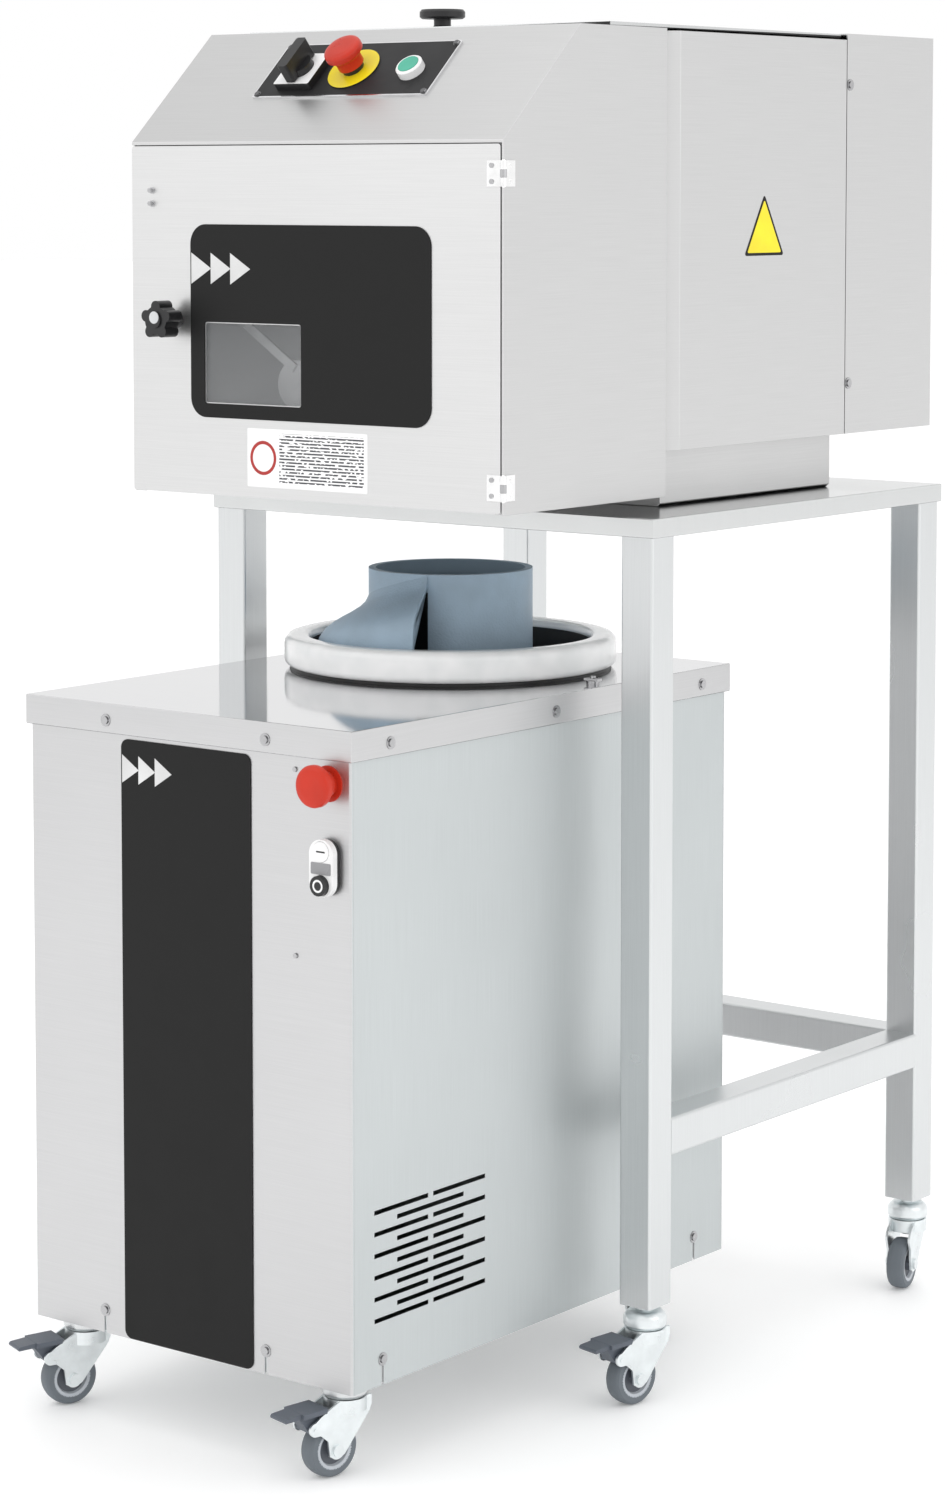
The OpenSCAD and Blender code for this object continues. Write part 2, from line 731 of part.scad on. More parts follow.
// The rotor in front of the outlet with its blade
module knife() {
    color("lightgray") on_stand() {
        rod_y(knife_x, knife_z, knife_y, 110, knife_shaft_r);
        rod_y(knife_x, knife_z, knife_y - 6, knife_y, 26);
        translate([knife_x, knife_y - 6, knife_z]) rotate([90, 33.5, 0]) linear_extrude(3)
            polygon([[-104, 9], [-107, 19], [-10, 19], [-10, 9]]);
    }
}

// Main gearmotor behind the hopper and the knife's motor behind the front housing
module drive_motors() {
    color("steelblue") on_stand() {
        difference() {
            union() {
                block([-55, 455, auger_z - 60], [55, 560, auger_z + 60]);
                rod_y(0, auger_z, 440, 455, 40);
                rod_x(508, auger_z, 55, 215, 50);
                block([-50, 460, cover_z + 1.5], [50, 550, auger_z - 60]);
            }
            rod_y(0, auger_z, 430, 502, shaft_bore);
        }
        difference() {
            union() {
                rod_y(knife_x, knife_z, housing_back, housing_back + 8, 28);
                rod_y(knife_x, knife_z, housing_back + 8, 250, 26);
            }
            rod_y(knife_x, knife_z, housing_back - 1, 112, knife_bore);
        }
    }
}

// A mains cable gland at a place in X and Z, through a 1.5 mm sheet whose outer face is at back
module gland(at, back) {
    difference() {
        union() {
            rod_y(at[0], at[1], back - gland_reach, back + gland_reach, gland_r);
            rod_y(at[0], at[1], back, back + gland_flange_h, gland_flange_r);
            rod_y(at[0], at[1], back - rim_sheet - 6, back - rim_sheet, gland_flange_r);
        }
        rod_y(at[0], at[1], back - gland_reach - 1, back + gland_reach + 1, cable_r);
    }
}

// Screws of the plate and housings, the catch that the clamp knob enters, and the mains gland
module divider_hardware() {
    half = div_w / 2;
    screw_y = 451;
    color("silver") {
        on_slant() for (x = [-116.5, 108.5], y = [71.5, 146]) translate([x, y, plate_t]) {
            cylinder(h = 0.5, r = 4);
            cylinder(h = 2, r = 3);
        }
        on_stand() {
            for (z = [1053, 1388]) {
                side_screw(half, screw_y, z);
                mirror([1, 0, 0]) side_screw(half, screw_y, z);
            }
            difference() {
                block([-half + sheet, -div_front + 16, knob_z - 14],
                    [knob_x + 12, -div_front + 34, knob_z + 14]);
                rod_y(knob_x, knob_z, -div_front + 15, -div_front + 35, 7.5);
            }
            gland(divider_gland, rear_back);
        }
    }
}

// --- Rounder ---

module rounder_chassis() {
    half = lid_w / 2 - body_inset - rim_sheet;
    y0 = body_inset + rim_sheet;
    y1 = lid_d - body_inset - rim_sheet;
    // From the inside of the sheets to the posts, and from the bowl's middle to the far side of a beam
    gap = 3.2;
    beam_y = 110;
    color("silver") on_rounder() {
        // Base tray
        difference() {
            block([-half, y0, body_z + 2], [half, y1, body_z + 42]);
            block([-half + 3, y0 + 3, body_z + 5], [half - 3, y1 - 3, body_z + 43]);
        }
        // Posts and the two beams that carry the bowl
        for (x = [-half + gap, half - gap - frame_bar], y = [y0 + gap, y1 - gap - frame_bar])
            block([x, y, body_z + 5], [x + frame_bar, y + frame_bar, lid_z - rim_sheet]);
        for (y = [ring_c[1] - beam_y, ring_c[1] + beam_y - 30])
            block([-half + 2, y, beam_z0], [half - 2, y + 30, beam_z1]);
        for (x = [-half + 2, half - 2 - frame_bar]) {
            block([x, y0 + gap + frame_bar, beam_z0], [x + frame_bar, ring_c[1] - beam_y, beam_z1]);
            block([x, ring_c[1] + beam_y, beam_z0], [x + frame_bar, y1 - gap - frame_bar, beam_z1]);
        }
        for (x = [-1, 1] * caster_x, y = [caster_front_y, caster_rear_y]) translate([x, y, 0])
            caster_head(body_z + 2, 0);
    }
}

// Louvre slots in the side sheets
module louvres() {
    pitch = 10.9;
    for (i = [0 : 10]) translate([0, 0, 158.3 + pitch * i]) {
        if (i % 2 == 0) for (y = [38.5, 131.5]) translate([0, y, -2.2]) cube([20, 85, 4.4]);
        else translate([0, 74, -2.2]) cube([20, 107, 4.4]);
    }
}

// Slots at the bottom edge, open below, that hang on the foot screws
module keyhole_cuts(half, y0) {
    slot = 1.6;
    for (x = foot_screw_xs) block([x - slot, y0 - 3, body_z - 1], [x + slot, y0 + 3, body_z + 22]);
    for (y = foot_screw_ys, side = [0, 1]) mirror([side, 0, 0])
        block([half - 5, y - slot, body_z - 1], [half + 3, y + slot, body_z + 24]);
}

module rounder_body() {
    half = lid_w / 2 - body_inset;
    y0 = body_inset;
    y1 = lid_d - body_inset;
    color("#ccd2d2") on_rounder() difference() {
        translate([-half, y0, body_z]) linear_extrude(lid_z - 6 - body_z) difference() {
            round_rect(2 * half, y1 - y0, body_corner);
            translate([rim_sheet, rim_sheet]) square([2 * half - 2 * rim_sheet, y1 - y0 - 2 * rim_sheet]);
        }
        translate([half - 10, 0, 0]) louvres();
        mirror([1, 0, 0]) translate([half - 10, 0, 0]) louvres();
        keyhole_cuts(half, y0);
        for (z = [estop_z, push_z]) rod_y(control_x, z, y0 - 1, y0 + 3, station_r);
        rod_y(rounder_gland[0], rounder_gland[1], y1 - 3, y1 + 1, gland_hole);
        // Seams between the front, side and back sheets
        for (y = [y0 + 3.5, y1 - 3.5]) block([-half - 1, y, body_z - 1], [half + 1, y + seam, lid_z]);
    }
}

module rounder_lid() {
    half = lid_w / 2;
    color("gainsboro") on_rounder() difference() {
        block([-half, 0, lid_z - lid_rim], [half, lid_d, lid_z]);
        block([-half + rim_sheet, rim_sheet, lid_z - lid_rim - 1], [half - rim_sheet, lid_d - rim_sheet,
            lid_z - rim_sheet]);
        translate([ring_c[0], ring_c[1], lid_z - 5]) cylinder(h = 10, r = lid_hole_r);
    }
}

module rounder_panel() {
    color("#2b2b2c") on_rounder()
        front_plate(-87.5, body_z + 1, 175, 622, 9, body_inset - 1.2, body_inset);
}

// Lid and bottom screws, the two small screws, the clip beside the ring and the mains gland
module rounder_hardware() {
    half = lid_w / 2;
    color("silver") on_rounder() {
        for (x = lid_screw_xs) front_screw(x, lid_z - lid_screw_down, 0);
        for (y = lid_screw_ys, side = [0, 1]) mirror([side, 0, 0])
            side_screw(half, y, lid_z - lid_screw_down);
        for (x = foot_screw_xs) front_screw(x, body_z + 24, body_inset);
        for (y = foot_screw_ys, side = [0, 1]) mirror([side, 0, 0])
            side_screw(half - body_inset, y, body_z + 26);
        for (z = [521, 706]) rod_y(145, z, body_inset - 1.5, body_inset, 2.5);
        translate([202, 420, lid_z]) {
            cylinder(h = 4, r = 7);
            translate([-9, -4, 4]) cube([18, 8, 2.5]);
            cylinder(h = 9, r = 3);
        }
        gland(rounder_gland, lid_d - body_inset);
    }
}

// The fixed drum that the dough is rolled against
module bowl() {
    color("#262626") on_rounder() translate([ring_c[0], ring_c[1], 0]) rotate_extrude() polygon([
        [14, drum_z - 20], [drum_r, drum_z - 20], [drum_r, lid_z], [ring_r - 6, lid_z], [ring_r - 6, ring_z0],
        [drum_r, ring_z0], [drum_r, ring_z0 + 25], [drum_r - 4, ring_z0 + 25], [drum_r - 4, drum_z - 14],
        [14, drum_z - 14]]);
}

module bowl_ring() {
    z1 = ring_z0 + ring_h;
    color("white") on_rounder() {
        translate([ring_c[0], ring_c[1], 0]) rotate_extrude() polygon([
            [drum_r, ring_z0], [drum_r, z1 - 9], [drum_r - 4, z1 - 9], [drum_r - 4, z1 - 6],
            [drum_r - 2, z1 - 2], [drum_r + 2, z1], [ring_r - 10, z1], [ring_r - 5, z1 - 1.3],
            [ring_r - 1.3, z1 - 5], [ring_r, z1 - 10], [ring_r, ring_z0 + 8], [ring_r - 1, ring_z0 + 4],
            [ring_r - 4, ring_z0 + 1], [ring_r - 8, ring_z0]]);
    }
}

module rounder_gearmotor() {
    color("steelblue") on_rounder() translate([ring_c[0], ring_c[1], 0]) difference() {
        union() {
            translate([-60, -75, 400]) cube([120, 150, 120]);
            translate([-60, -112, 512]) cube([120, 224, 8]);
            translate([0, 0, 520]) cylinder(h = 22, r = 40);
            translate([0, 0, 460]) rotate([90, 0, 0]) cylinder(h = 260, r = 55);
        }
        translate([0, 0, 430]) cylinder(h = 120, r = shaft_bore);
    }
}

module drive_spindle() {
    color("lightgray") on_rounder() translate([ring_c[0], ring_c[1], 0]) {
        translate([0, 0, 435]) cylinder(h = 185, r = shaft_r);
        translate([0, 0, drum_z - 7.1]) cylinder(h = 7, r = 30);
    }
}

// How far the vane's root falls with each degree back from its open end
vane_fall = 0.42;
// Gap between the vane's root and the cylinder
vane_gap = 0.35;
function vane_root_z(a) = feed_z - 1 - vane_fall * a;
// Section of the vane, outside then inside: how far each point is out from the cylinder and below the root
vane_outside = [[0, 0], [4, 8], [10, 13.5], [20, 19.5], [30, 24.5], [40, 30.5], [48, 37], [54, 46], [57, 58],
    [58, 74]];
vane_inside = [[52.5, 74], [51.7, 59], [48.8, 48], [43, 40.5], [36, 34.5], [27, 29], [17, 24], [8, 18.5],
    [3, 14.5], [0, 12]];
vane_section = concat(vane_outside, vane_inside);
// One cross-section of the vane at angle a back from its open end
function vane_ring(a) = [for (p = vane_section) let (r = feed_r + vane_gap + p[0])
    [r * cos(vane_end - a), r * sin(vane_end - a), vane_root_z(a) - p[1]]];

// The vane as one closed surface with one section every step degrees
module vane(turn, step = 8) {
    n = turn / step;
    q = len(vane_section);
    rings = [for (i = [0 : n]) vane_ring(i * step)];
    polyhedron([for (ring = rings) each ring], concat(
        [[for (j = [q - 1 : -1 : 0]) j]],
        [for (i = [0 : n - 1], j = [0 : q - 1], k = [0, 1]) let (
            a = q * i + j, b = q * i + (j + 1) % q, c = b + q, d = a + q) k == 0 ? [a, b, c] : [a, c, d]],
        [[for (j = [0 : q - 1]) q * n + j]]));
}

// The feed cylinder: open on top, with a hub for the spindle, an outlet at its foot, and a cut behind the
// vane's end
module feed_cylinder() {
    wall = 8;
    hub_r = 22;
    hub_h = 56;
    outlet_w = 90;
    cut_w = 60;
    cut_z = 730;
    difference() {
        translate([0, 0, drum_z]) cylinder(h = feed_z - drum_z, r = feed_r);
        difference() {
            translate([0, 0, drum_z + wall]) cylinder(h = feed_z, r = feed_r - wall);
            translate([0, 0, drum_z]) cylinder(h = hub_h, r = hub_r);
        }
        translate([0, 0, drum_z - 1]) cylinder(h = hub_h + 4, r = shaft_bore);
        rotate([0, 0, 200]) translate([40, -outlet_w / 2, drum_z + 10]) cube([80, outlet_w, 68]);
        rotate([0, 0, vane_end]) translate([40, 0, 0]) rotate([90, 0, 90]) linear_extrude(80) polygon([
            [-cut_w, cut_z], [0, cut_z], [0, feed_z - 19], [-cut_w, feed_z - 44]]);
    }
}

// The turning spiral: a feed cylinder with a vane round it
module rounding_spiral($fn = 72) {
    color("lightslategray") on_rounder() translate([ring_c[0], ring_c[1], 0]) {
        feed_cylinder();
        vane(400);
    }
}

// Outline of the double push button's case, grown by some millimetres, from y0 to y1
module push_plate(grow, y0, y1) {
    front_plate(control_x - push_case / 2 - grow, push_z - push_case_h / 2 - grow, push_case + 2 * grow,
        push_case_h + 2 * grow, push_case / 2 - 0.5 + grow, y0, y1);
}

// Collar of the rounder's emergency stop and the case of its double push button
module rounder_control_bases() {
    color("#d8d8d8") on_rounder() {
        translate([control_x, body_inset, estop_z]) rotate([90, 0, 0]) estop_collar(18);
        difference() {
            union() {
                push_plate(0, body_inset - 5, body_inset);
                push_plate(0.5, body_inset - 12, body_inset - 5);
            }
            for (z = [-push_gap, push_gap])
                rod_y(control_x, push_z + z, body_inset - 13, body_inset - 1, push_hole);
        }
    }
}

module rounder_estop_head() {
    color("crimson") on_rounder() translate([control_x, body_inset - estop_skirt, estop_z])
        rotate([90, 0, 0]) mushroom(21, 20.5);
}

module run_button() {
    color("white") on_rounder()
        rod_y(control_x, push_z + push_gap, body_inset - 12.5, body_inset - 5.5, push_r);
}

module stop_button() {
    color("#1c1c1c") on_rounder()
        rod_y(control_x, push_z - push_gap, body_inset - 17, body_inset - 5.5, push_r);
}

stand_frame();
stand_top();
stand_caster_heads();
divider_base();
front_housing();
body_covers();
rear_housing();
hopper_tub();
outlet_cone();
control_plate();
control_bases();
drive_motors();
divider_hardware();
door_hinges();
door();
door_panel();
door_window();
door_hardware();
door_knob();
hopper_lid();
lid_knob();
selector_knob();
estop_head();
start_button();
auger_screw();
knife();
stand_fork_front_left();
stand_fork_front_right();
stand_fork_rear_left();
stand_fork_rear_right();
stand_wheel_front_left();
stand_wheel_front_right();
stand_wheel_rear_left();
stand_wheel_rear_right();
stand_pedal_left();
stand_pedal_right();
rounder_chassis();
rounder_body();
rounder_lid();
rounder_panel();
rounder_hardware();
bowl();
bowl_ring();
rounder_gearmotor();
drive_spindle();
rounding_spiral();
rounder_control_bases();
rounder_estop_head();
run_button();
stop_button();
rounder_fork_front_left();
rounder_fork_front_right();
rounder_fork_rear_left();
rounder_fork_rear_right();
rounder_wheel_front_left();
rounder_wheel_front_right();
rounder_wheel_rear_left();
rounder_wheel_rear_right();
rounder_pedal_left();
rounder_pedal_right();
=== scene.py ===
"""Looks of the dough divider on its stand and of the dough rounder beneath it.

Metres, Z up, and the fronts face -Y.
"""
import math

import bmesh
import bpy
from mathutils import Matrix, Vector


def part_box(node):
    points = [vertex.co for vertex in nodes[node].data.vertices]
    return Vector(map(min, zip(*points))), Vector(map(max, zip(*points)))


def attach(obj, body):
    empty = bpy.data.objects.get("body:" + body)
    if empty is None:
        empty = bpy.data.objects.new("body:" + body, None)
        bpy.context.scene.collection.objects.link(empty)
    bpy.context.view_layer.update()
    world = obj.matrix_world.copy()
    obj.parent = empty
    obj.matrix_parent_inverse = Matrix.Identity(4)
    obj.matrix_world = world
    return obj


MM = 0.001
ACROSS = Vector((1, 0, 0))
BACKWARD = Vector((0, 1, 0))
UP = Vector((0, 0, 1))

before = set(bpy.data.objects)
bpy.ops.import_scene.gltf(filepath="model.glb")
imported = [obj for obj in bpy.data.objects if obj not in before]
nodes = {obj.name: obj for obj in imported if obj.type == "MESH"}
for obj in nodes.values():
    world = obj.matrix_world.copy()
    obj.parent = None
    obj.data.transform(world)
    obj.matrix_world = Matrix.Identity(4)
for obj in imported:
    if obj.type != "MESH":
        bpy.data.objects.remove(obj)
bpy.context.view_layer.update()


# --- Material helpers ---

class Paint:
    """A Principled material, with helpers for procedural detail in the object's own coordinates."""

    def __init__(self, name, **sockets):
        self.material = bpy.data.materials.new(name)
        self.material.use_nodes = True
        tree = self.material.node_tree
        self.nodes, self.links = tree.nodes, tree.links
        self.shader = self.nodes["Principled BSDF"]
        self.place = self.nodes.new("ShaderNodeTexCoord").outputs["Object"]
        self.set(**sockets)

    def set(self, **sockets):
        """Sets constant values on the shader's own sockets, an underscore standing for a space."""
        for name, value in sockets.items():
            self.shader.inputs[name.replace("_", " ")].default_value = value

    def height(self):
        """Height in the object's own coordinates."""
        split = self.nodes.new("ShaderNodeSeparateXYZ")
        self.links.new(self.place, split.inputs["Vector"])
        return split.outputs["Z"]

    def noise(self, stretch=(1, 1, 1), scale=1.0, detail=2.0):
        """Noise with its grain stretched: larger numbers are finer along that axis."""
        mapping = self.nodes.new("ShaderNodeMapping")
        mapping.inputs["Scale"].default_value = stretch
        texture = self.nodes.new("ShaderNodeTexNoise")
        texture.inputs["Scale"].default_value = scale
        texture.inputs["Detail"].default_value = detail
        self.links.new(self.place, mapping.inputs["Vector"])
        self.links.new(mapping.outputs["Vector"], texture.inputs["Vector"])
        return texture.outputs["Fac"]

    def combine(self, operation, first, second):
        """A Math node on an output and a second output or number."""
        node = self.nodes.new("ShaderNodeMath")
        node.operation = operation
        self.links.new(first, node.inputs[0])
        if isinstance(second, float):
            node.inputs[1].default_value = second
        else:
            self.links.new(second, node.inputs[1])
        return node.outputs[0]

    def span(self, value, low, high, start=0.3, end=0.7):
        """The value, moved into the range from low to high."""
        node = self.nodes.new("ShaderNodeMapRange")
        node.inputs["From Min"].default_value = start
        node.inputs["From Max"].default_value = end
        node.inputs["To Min"].default_value = low
        node.inputs["To Max"].default_value = high
        self.links.new(value, node.inputs["Value"])
        return node.outputs["Result"]

    def tint(self, value, dark, light, start=0.3, end=0.7):
        """Colour between dark and light."""
        ramp = self.nodes.new("ShaderNodeValToRGB")
        ramp.color_ramp.elements[0].position = start
        ramp.color_ramp.elements[0].color = (*dark, 1)
        ramp.color_ramp.elements[1].position = end
        ramp.color_ramp.elements[1].color = (*light, 1)
        self.links.new(value, ramp.inputs["Fac"])
        return ramp.outputs["Color"]

    def feed(self, output, socket):
        """Links an output to one of the shader's sockets."""
        self.links.new(output, self.shader.inputs[socket])

    def bump(self, height, strength, distance):
        """Links a height to the shader's normal."""
        node = self.nodes.new("ShaderNodeBump")
        node.inputs["Strength"].default_value = strength
        node.inputs["Distance"].default_value = distance
        self.links.new(height, node.inputs["Height"])
        self.feed(node.outputs["Normal"], "Normal")


def grey(level):
    """A neutral colour."""
    return (level, level, level)


def shade(colour, factor):
    """The colour, lighter or darker by a factor."""
    return tuple(min(1.0, c * factor) for c in colour)


# Streaks of brushed steel: level or upright on the standing faces, and left to right on the flat tops
COARSE = 12
FINE = 1500
GRAIN_LEVEL = (COARSE, COARSE, FINE)
GRAIN_UPRIGHT = (FINE, FINE, COARSE)
GRAIN_TOP = (COARSE, FINE, COARSE)


def brushed(name, colour, grain=GRAIN_LEVEL, rough=(0.34, 0.44), bump=0.06):
    """Brushed stainless steel, with its roughness between two values."""
    paint = Paint(name, Metallic=1.0)
    streaks = paint.noise(stretch=grain, scale=1.0, detail=3.0)
    cloud = paint.noise(scale=4.0, detail=3.0)
    paint.feed(paint.tint(streaks, shade(colour, 0.97), shade(colour, 1.02)), "Base Color")
    paint.feed(paint.span(cloud, *rough), "Roughness")
    paint.bump(streaks, bump, 0.2 * MM)
    return paint.material


def moulded(name, colour, rough, bump=0.1, grain=900.0, coat=0.0, shine=0.45, depth=0.1 * MM):
    """Plastic with a fine moulded grain and slightly uneven gloss."""
    paint = Paint(name, Specular_IOR_Level=shine)
    if coat:
        paint.set(Coat_Weight=coat, Coat_Roughness=0.08)
    pits = paint.noise(scale=grain, detail=2.0)
    cloud = paint.noise(scale=25.0, detail=2.0)
    paint.feed(paint.tint(cloud, shade(colour, 0.9), shade(colour, 1.06)), "Base Color")
    paint.feed(paint.span(cloud, rough * 0.85, rough * 1.15), "Roughness")
    paint.bump(pits, bump, depth)
    return paint.material


def plated(name, colour, rough, metal=1.0):
    """Zinc or polished steel with faint blotches."""
    paint = Paint(name, Metallic=metal)
    cloud = paint.noise(scale=60.0, detail=3.0)
    paint.feed(paint.tint(cloud, shade(colour, 0.88), colour), "Base Color")
    paint.feed(paint.span(cloud, rough * 0.8, rough * 1.25), "Roughness")
    paint.bump(paint.noise(scale=1200.0), 0.05, 0.1 * MM)
    return paint.material


def smoked_glass(name):
    """Dark see-through plastic of the door's window."""
    paint = Paint(name, Roughness=0.06, IOR=1.45, Alpha=0.24)
    haze = paint.noise(scale=12.0, detail=2.0)
    paint.feed(paint.tint(haze, (0.3, 0.31, 0.32), (0.36, 0.37, 0.38)), "Base Color")
    paint.material.blend_method = "BLEND"
    return paint.material


def painted_shade_grey(name, top, depth):
    """The spiral's grey with painted shade: it turns dark towards a depth below the top edge."""
    paint = Paint(name, Roughness=0.6, Specular_IOR_Level=0.3)
    daylight = paint.span(paint.height(), 0.0, 1.0, start=top - depth, end=top)
    colour = paint.tint(daylight, (0.02, 0.022, 0.025), (0.3, 0.4, 0.49), start=0.0, end=1.0)
    paint.feed(colour, "Base Color")
    paint.bump(paint.noise(scale=700.0), 0.5, 0.1 * MM)
    return paint.material


def label_paper(name):
    """White paper with broken dark bars where the text of a label would be."""
    paint = Paint(name, Roughness=0.45)
    line_pitch = 1.7 * MM
    wave = paint.combine("PINGPONG", paint.height(), line_pitch)
    bars = paint.span(wave, 0.0, 1.0, start=0.7 * MM, end=0.9 * MM)
    words = paint.span(paint.noise(stretch=(260, 260, 300), detail=0.0), 0.0, 1.0, start=0.38, end=0.42)
    ink = paint.combine("MULTIPLY", bars, words)
    paint.feed(paint.tint(ink, grey(0.98), (0.06, 0.06, 0.07), start=0.2, end=0.8), "Base Color")
    return paint.material


# --- Materials ---

BRUSHED = {
    "steel_door": dict(colour=grey(0.7)),
    # The side steel, darker as painted shade for the up-facing slanted panel
    "steel_slant": dict(colour=grey(0.58)),
    "steel_front": dict(colour=(0.6, 0.6, 0.605)),
    "steel_side": dict(colour=grey(0.635)),
    "steel_cool": dict(colour=(0.6, 0.63, 0.635), grain=GRAIN_UPRIGHT, rough=(0.5, 0.6)),
    "steel_tube": dict(colour=(0.68, 0.695, 0.7), grain=GRAIN_UPRIGHT, rough=(0.26, 0.38)),
    "steel_table": dict(colour=(0.66, 0.67, 0.67), grain=GRAIN_TOP, rough=(0.14, 0.22)),
    "steel_mirror": dict(colour=(0.63, 0.63, 0.64), grain=GRAIN_TOP, rough=(0.05, 0.1), bump=0.02),
    "steel_inner": dict(colour=(0.6, 0.61, 0.62), rough=(0.3, 0.45)),
}
PLATED = {
    "polished": dict(colour=(0.8, 0.8, 0.81), rough=0.16),
    "bright": dict(colour=grey(0.97), rough=0.2),
    "screw_steel": dict(colour=(0.5, 0.5, 0.51), rough=0.25),
    # Dark steel for the painted shade round the screw heads' edges
    "dark_steel": dict(colour=(0.16, 0.16, 0.165), rough=0.4),
    "satin": dict(colour=(0.82, 0.82, 0.83), rough=0.5, metal=0.3),
    "zinc": dict(colour=(0.84, 0.88, 0.89), rough=0.33),
}
MOULDED = {
    "black_sheet": dict(colour=grey(0.013), rough=0.5, bump=0.06, shine=0.17),
    "black_plate": dict(colour=(0.02, 0.02, 0.021), rough=0.5, shine=0.25),
    "black_plastic": dict(colour=(0.015, 0.015, 0.016), rough=0.35, bump=0.25, grain=1400.0),
    "black_rubber": dict(colour=(0.02, 0.02, 0.021), rough=0.7, bump=0.3),
    "drum_black": dict(colour=grey(0.012), rough=0.45, bump=0.2, grain=500.0),
    "white_gloss": dict(colour=(0.97, 0.99, 0.99), rough=0.15, bump=0.02, coat=0.4),
    "white_plastic": dict(colour=grey(0.88), rough=0.3, bump=0.05),
    "label_white": dict(colour=grey(0.98), rough=0.5, bump=0.01),
    "label_red": dict(colour=(0.45, 0.03, 0.025), rough=0.5, bump=0.01),
    "mark_white": dict(colour=grey(0.7), rough=0.45, bump=0.05),
    "lens_grey": dict(colour=(0.3, 0.3, 0.31), rough=0.3, bump=0.02),
    "grey_light": dict(colour=(0.62, 0.63, 0.64), rough=0.35, bump=0.05),
    "red_gloss": dict(colour=(0.55, 0.03, 0.012), rough=0.32, bump=0.03, shine=0.3),
    "green_cap": dict(colour=(0.06, 0.42, 0.29), rough=0.3, bump=0.04),
    "yellow": dict(colour=(0.9, 0.74, 0.01), rough=0.4, bump=0.03),
    "spiral_grey": dict(colour=(0.36, 0.475, 0.58), rough=0.5, bump=0.9, grain=420.0, shine=0.4,
                        depth=0.6 * MM),
    "motor_paint": dict(colour=(0.06, 0.1, 0.16), rough=0.4, bump=0.2),
    "tyre": dict(colour=(0.14, 0.16, 0.18), rough=0.6, bump=0.2),
    "wheel_core": dict(colour=(0.1, 0.11, 0.13), rough=0.45),
    "wheel_ring": dict(colour=(0.5, 0.53, 0.57), rough=0.4),
    "pedal": dict(colour=(0.1, 0.115, 0.14), rough=0.5, bump=0.4, grain=500.0),
}

# Painted shade on the feed cylinder's inside: it starts to darken this far below its top edge, and is dark
# this much lower
SHADE_FROM = 14 * MM
SHADE_DEPTH = 22 * MM
spiral_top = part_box("rounding_spiral")[1].z - SHADE_FROM

MATERIALS = {
    "smoked": smoked_glass("smoked"),
    "spiral_inside_shade": painted_shade_grey("spiral_inside_shade", spiral_top, SHADE_DEPTH),
    "label_paper": label_paper("label_paper"),
}
for maker, family in ((brushed, BRUSHED), (plated, PLATED), (moulded, MOULDED)):
    for name, look in family.items():
        MATERIALS[name] = maker(name, **look)


# --- Materials on the CAD nodes ---

def dress(node, *names):
    """Gives a CAD node its materials; the first one covers it all."""
    mesh = nodes[node].data
    mesh.materials.clear()
    for name in names:
        mesh.materials.append(MATERIALS[name])
    for face in mesh.polygons:
        face.material_index = 0


def paint_faces(node, index, wanted):
    """Gives the faces whose centre and normal pass the test another of the node's materials."""
    for face in nodes[node].data.polygons:
        if wanted(face.center, face.normal):
            face.material_index = index


PLAIN = {
    "stand_frame": "steel_tube", "stand_top": "steel_table", "stand_caster_heads": "zinc",
    "divider_base": "steel_side", "body_covers": "steel_side", "rear_housing": "steel_side",
    "hopper_tub": "steel_inner", "outlet_cone": "polished", "control_plate": "black_plate",
    "drive_motors": "motor_paint", "door_hinges": "bright", "door": "steel_door",
    "door_panel": "black_sheet", "door_window": "smoked", "door_knob": "black_plastic",
    "lid_knob": "black_plastic", "selector_knob": "black_plastic", "estop_head": "red_gloss",
    "start_button": "green_cap", "auger_screw": "polished", "knife": "satin",
    "rounder_chassis": "steel_tube", "rounder_panel": "black_sheet", "bowl": "drum_black",
    "bowl_ring": "white_gloss", "rounder_gearmotor": "motor_paint", "drive_spindle": "polished",
    "rounder_estop_head": "red_gloss", "run_button": "white_plastic", "stop_button": "black_plastic",
}
for node, name in PLAIN.items():
    dress(node, name)

# How far a face's normal leans along an axis, from 0 for not at all to 1 for square to it
SQUARE = 0.9
HALFWAY = 0.7
TILTED = 0.3

# The rounder's sides are a little cooler in tone than its front
dress("rounder_body", "steel_front", "steel_cool")
paint_faces("rounder_body", 1, lambda centre, normal: abs(normal.x) > SQUARE)

# The rounder's lid is polished on top and brushed round its rim
dress("rounder_lid", "steel_mirror", "steel_front")
paint_faces("rounder_lid", 1, lambda centre, normal: abs(normal.z) < HALFWAY)

# Screw heads, with painted shade on the faces round their edges that lean up or down
RIM_LEAN = 0.35
END_LEAN = 0.95
for node in ("rounder_hardware", "divider_hardware"):
    dress(node, "screw_steel", "dark_steel")
    paint_faces(node, 1, lambda centre, normal: abs(normal.z) > RIM_LEAN and abs(normal.x) < END_LEAN)

# The door's hinge leaves are brighter than its screws and studs
LEAF_WIDTH = 19 * MM
LEAF_THICK = 1.6 * MM
door_lo, door_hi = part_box("door")
dress("door_hardware", "screw_steel", "bright")
paint_faces("door_hardware", 1, lambda centre, normal: centre.x > door_hi.x - LEAF_WIDTH
            and centre.y > door_lo.y - LEAF_THICK)

# Painted shade: the front housing's slanted panel is darker than its sides
dress("front_housing", "steel_side", "steel_slant")
paint_faces("front_housing", 1, lambda centre, normal: normal.y < -TILTED and normal.z > TILTED)

# The hopper lid's seal, under its sheet
SEAL_TOP = 4 * MM
lid_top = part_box("hopper_lid")[1].z
dress("hopper_lid", "steel_table", "black_rubber")
paint_faces("hopper_lid", 1, lambda centre, normal: centre.z < lid_top - SEAL_TOP)

# Inner wall of the feed cylinder, which gets the painted shade
INNER_RADIUS = 83 * MM
ring_lo, ring_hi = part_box("bowl_ring")
bowl_middle = (ring_lo + ring_hi) / 2


